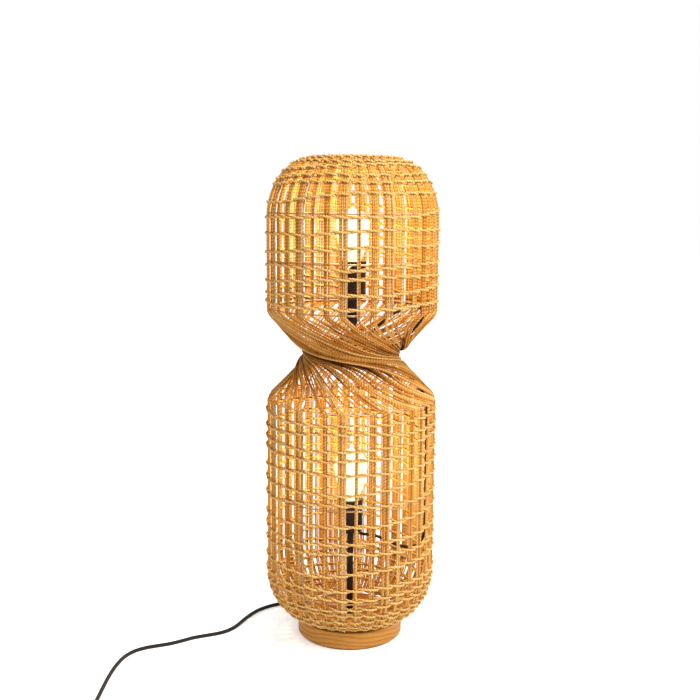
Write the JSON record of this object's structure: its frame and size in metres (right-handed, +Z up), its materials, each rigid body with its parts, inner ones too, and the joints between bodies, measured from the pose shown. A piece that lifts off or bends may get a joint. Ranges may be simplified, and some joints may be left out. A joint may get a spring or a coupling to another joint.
{
  "type": "woven rope floor lamp",
  "caption": "Hourglass floor lamp of woven rope with a twisted waist, a bulb in each drum, a round wooden base and a mains cord with a rocker switch.",
  "frame": {"origin": "centre of the base's underside, on the floor", "axes": "+Z up along the lamp's axis, -Y towards the front, +X to the right seen from the front"},
  "size_m": [0.5642, 0.6447, 0.862],
  "materials": {
    "rope": "natural twisted paper or seagrass cord, matt",
    "wire": "beige powder-coated steel wire",
    "wood": "pale turned wood with a satin lacquer",
    "felt": "dark felt",
    "black_metal": "satin black",
    "black_plastic": "satin black moulding",
    "steel": "plain zinc-plated steel",
    "brass": "plain",
    "ceramic": "white glazed insulating body",
    "lamp_glass": "frosted, lit warm white",
    "cord": "black and brown braided sleeve"
  },
  "bodies": {
    "lamp": {"upper_weave_dome": "rope", "upper_weave_drum": "rope", "waist_strings_top": "rope", "waist_strings_bottom": "rope", "lower_weave_drum": "rope", "lower_weave_bowl": "rope", "upper_frame": "wire", "lower_frame": "wire", "holder_spider": "wire", "base_disc": "wood", "base_felt": "felt", "pole_tube": "black_metal", "pole_collar": "black_metal", "lower_holder_cap": "black_plastic", "lower_holder_shell": "black_plastic", "upper_holder_shell": "black_plastic", "upper_shade_ring": "black_plastic", "upper_holder_sleeve": "black_plastic", "cord_gland": "black_plastic", "coil_tie": "black_plastic", "switch_base": "black_plastic", "switch_cover": "black_plastic", "plug_body": "black_plastic", "threaded_rod": "steel", "base_washer": "steel", "base_nut": "steel", "holder_nut": "steel", "base_screw_1": "steel", "base_screw_2": "steel", "base_screw_3": "steel", "base_screw_4": "steel", "switch_screw_1": "steel", "switch_screw_2": "steel", "plug_pin_1": "steel", "plug_pin_2": "steel", "lower_centre_contact": "brass", "upper_centre_contact": "brass", "lower_screw_shell": "brass", "upper_screw_shell": "brass", "lower_holder_core": "ceramic", "upper_holder_core": "ceramic", "link_cable": "cord", "feed_lead": "cord", "mains_cord": "cord", "cord_to_coil": "cord", "cord_tail": "cord", "cord_coil": "cord"},
    "upper_bulb_lift": {"upper_bulb_tip": "brass"},
    "upper_bulb": {"upper_bulb_insulator": "black_plastic", "upper_bulb_cap": "brass", "upper_bulb_glass": "lamp_glass"},
    "lower_bulb_lift": {"lower_bulb_tip": "brass"},
    "lower_bulb": {"lower_bulb_insulator": "black_plastic", "lower_bulb_cap": "brass", "lower_bulb_glass": "lamp_glass"},
    "rocker": {"switch_rocker": "black_plastic"}
  },
  "joints": [
    {"name": "upper_bulb_rise", "type": "slide", "parent": "lamp", "child": "upper_bulb_lift", "axis": [0, 0, 1], "range_m": [0, 0.0109]},
    {"name": "upper_bulb_turn", "type": "hinge", "parent": "upper_bulb_lift", "child": "upper_bulb", "pos_m": [0, 0, 0.7], "axis": [0, 0, 1], "range_deg": [0, 1080]},
    {"name": "lower_bulb_rise", "type": "slide", "parent": "lamp", "child": "lower_bulb_lift", "axis": [0, 0, 1], "range_m": [0, 0.0109]},
    {"name": "lower_bulb_turn", "type": "hinge", "parent": "lower_bulb_lift", "child": "lower_bulb", "pos_m": [0, 0, 0.27], "axis": [0, 0, 1], "range_deg": [0, 1080]},
    {"name": "switch_rock", "type": "hinge", "parent": "lamp", "child": "rocker", "pos_m": [-0.3985, -0.354, 0.014], "axis": [1, 0, 0], "range_deg": [-24, 0]}
  ],
  "couplings": [
    {"joint": "upper_bulb_rise", "follows": "upper_bulb_turn", "m_per_rad": 0.00057757},
    {"joint": "lower_bulb_rise", "follows": "lower_bulb_turn", "m_per_rad": 0.00057757}
  ]
}
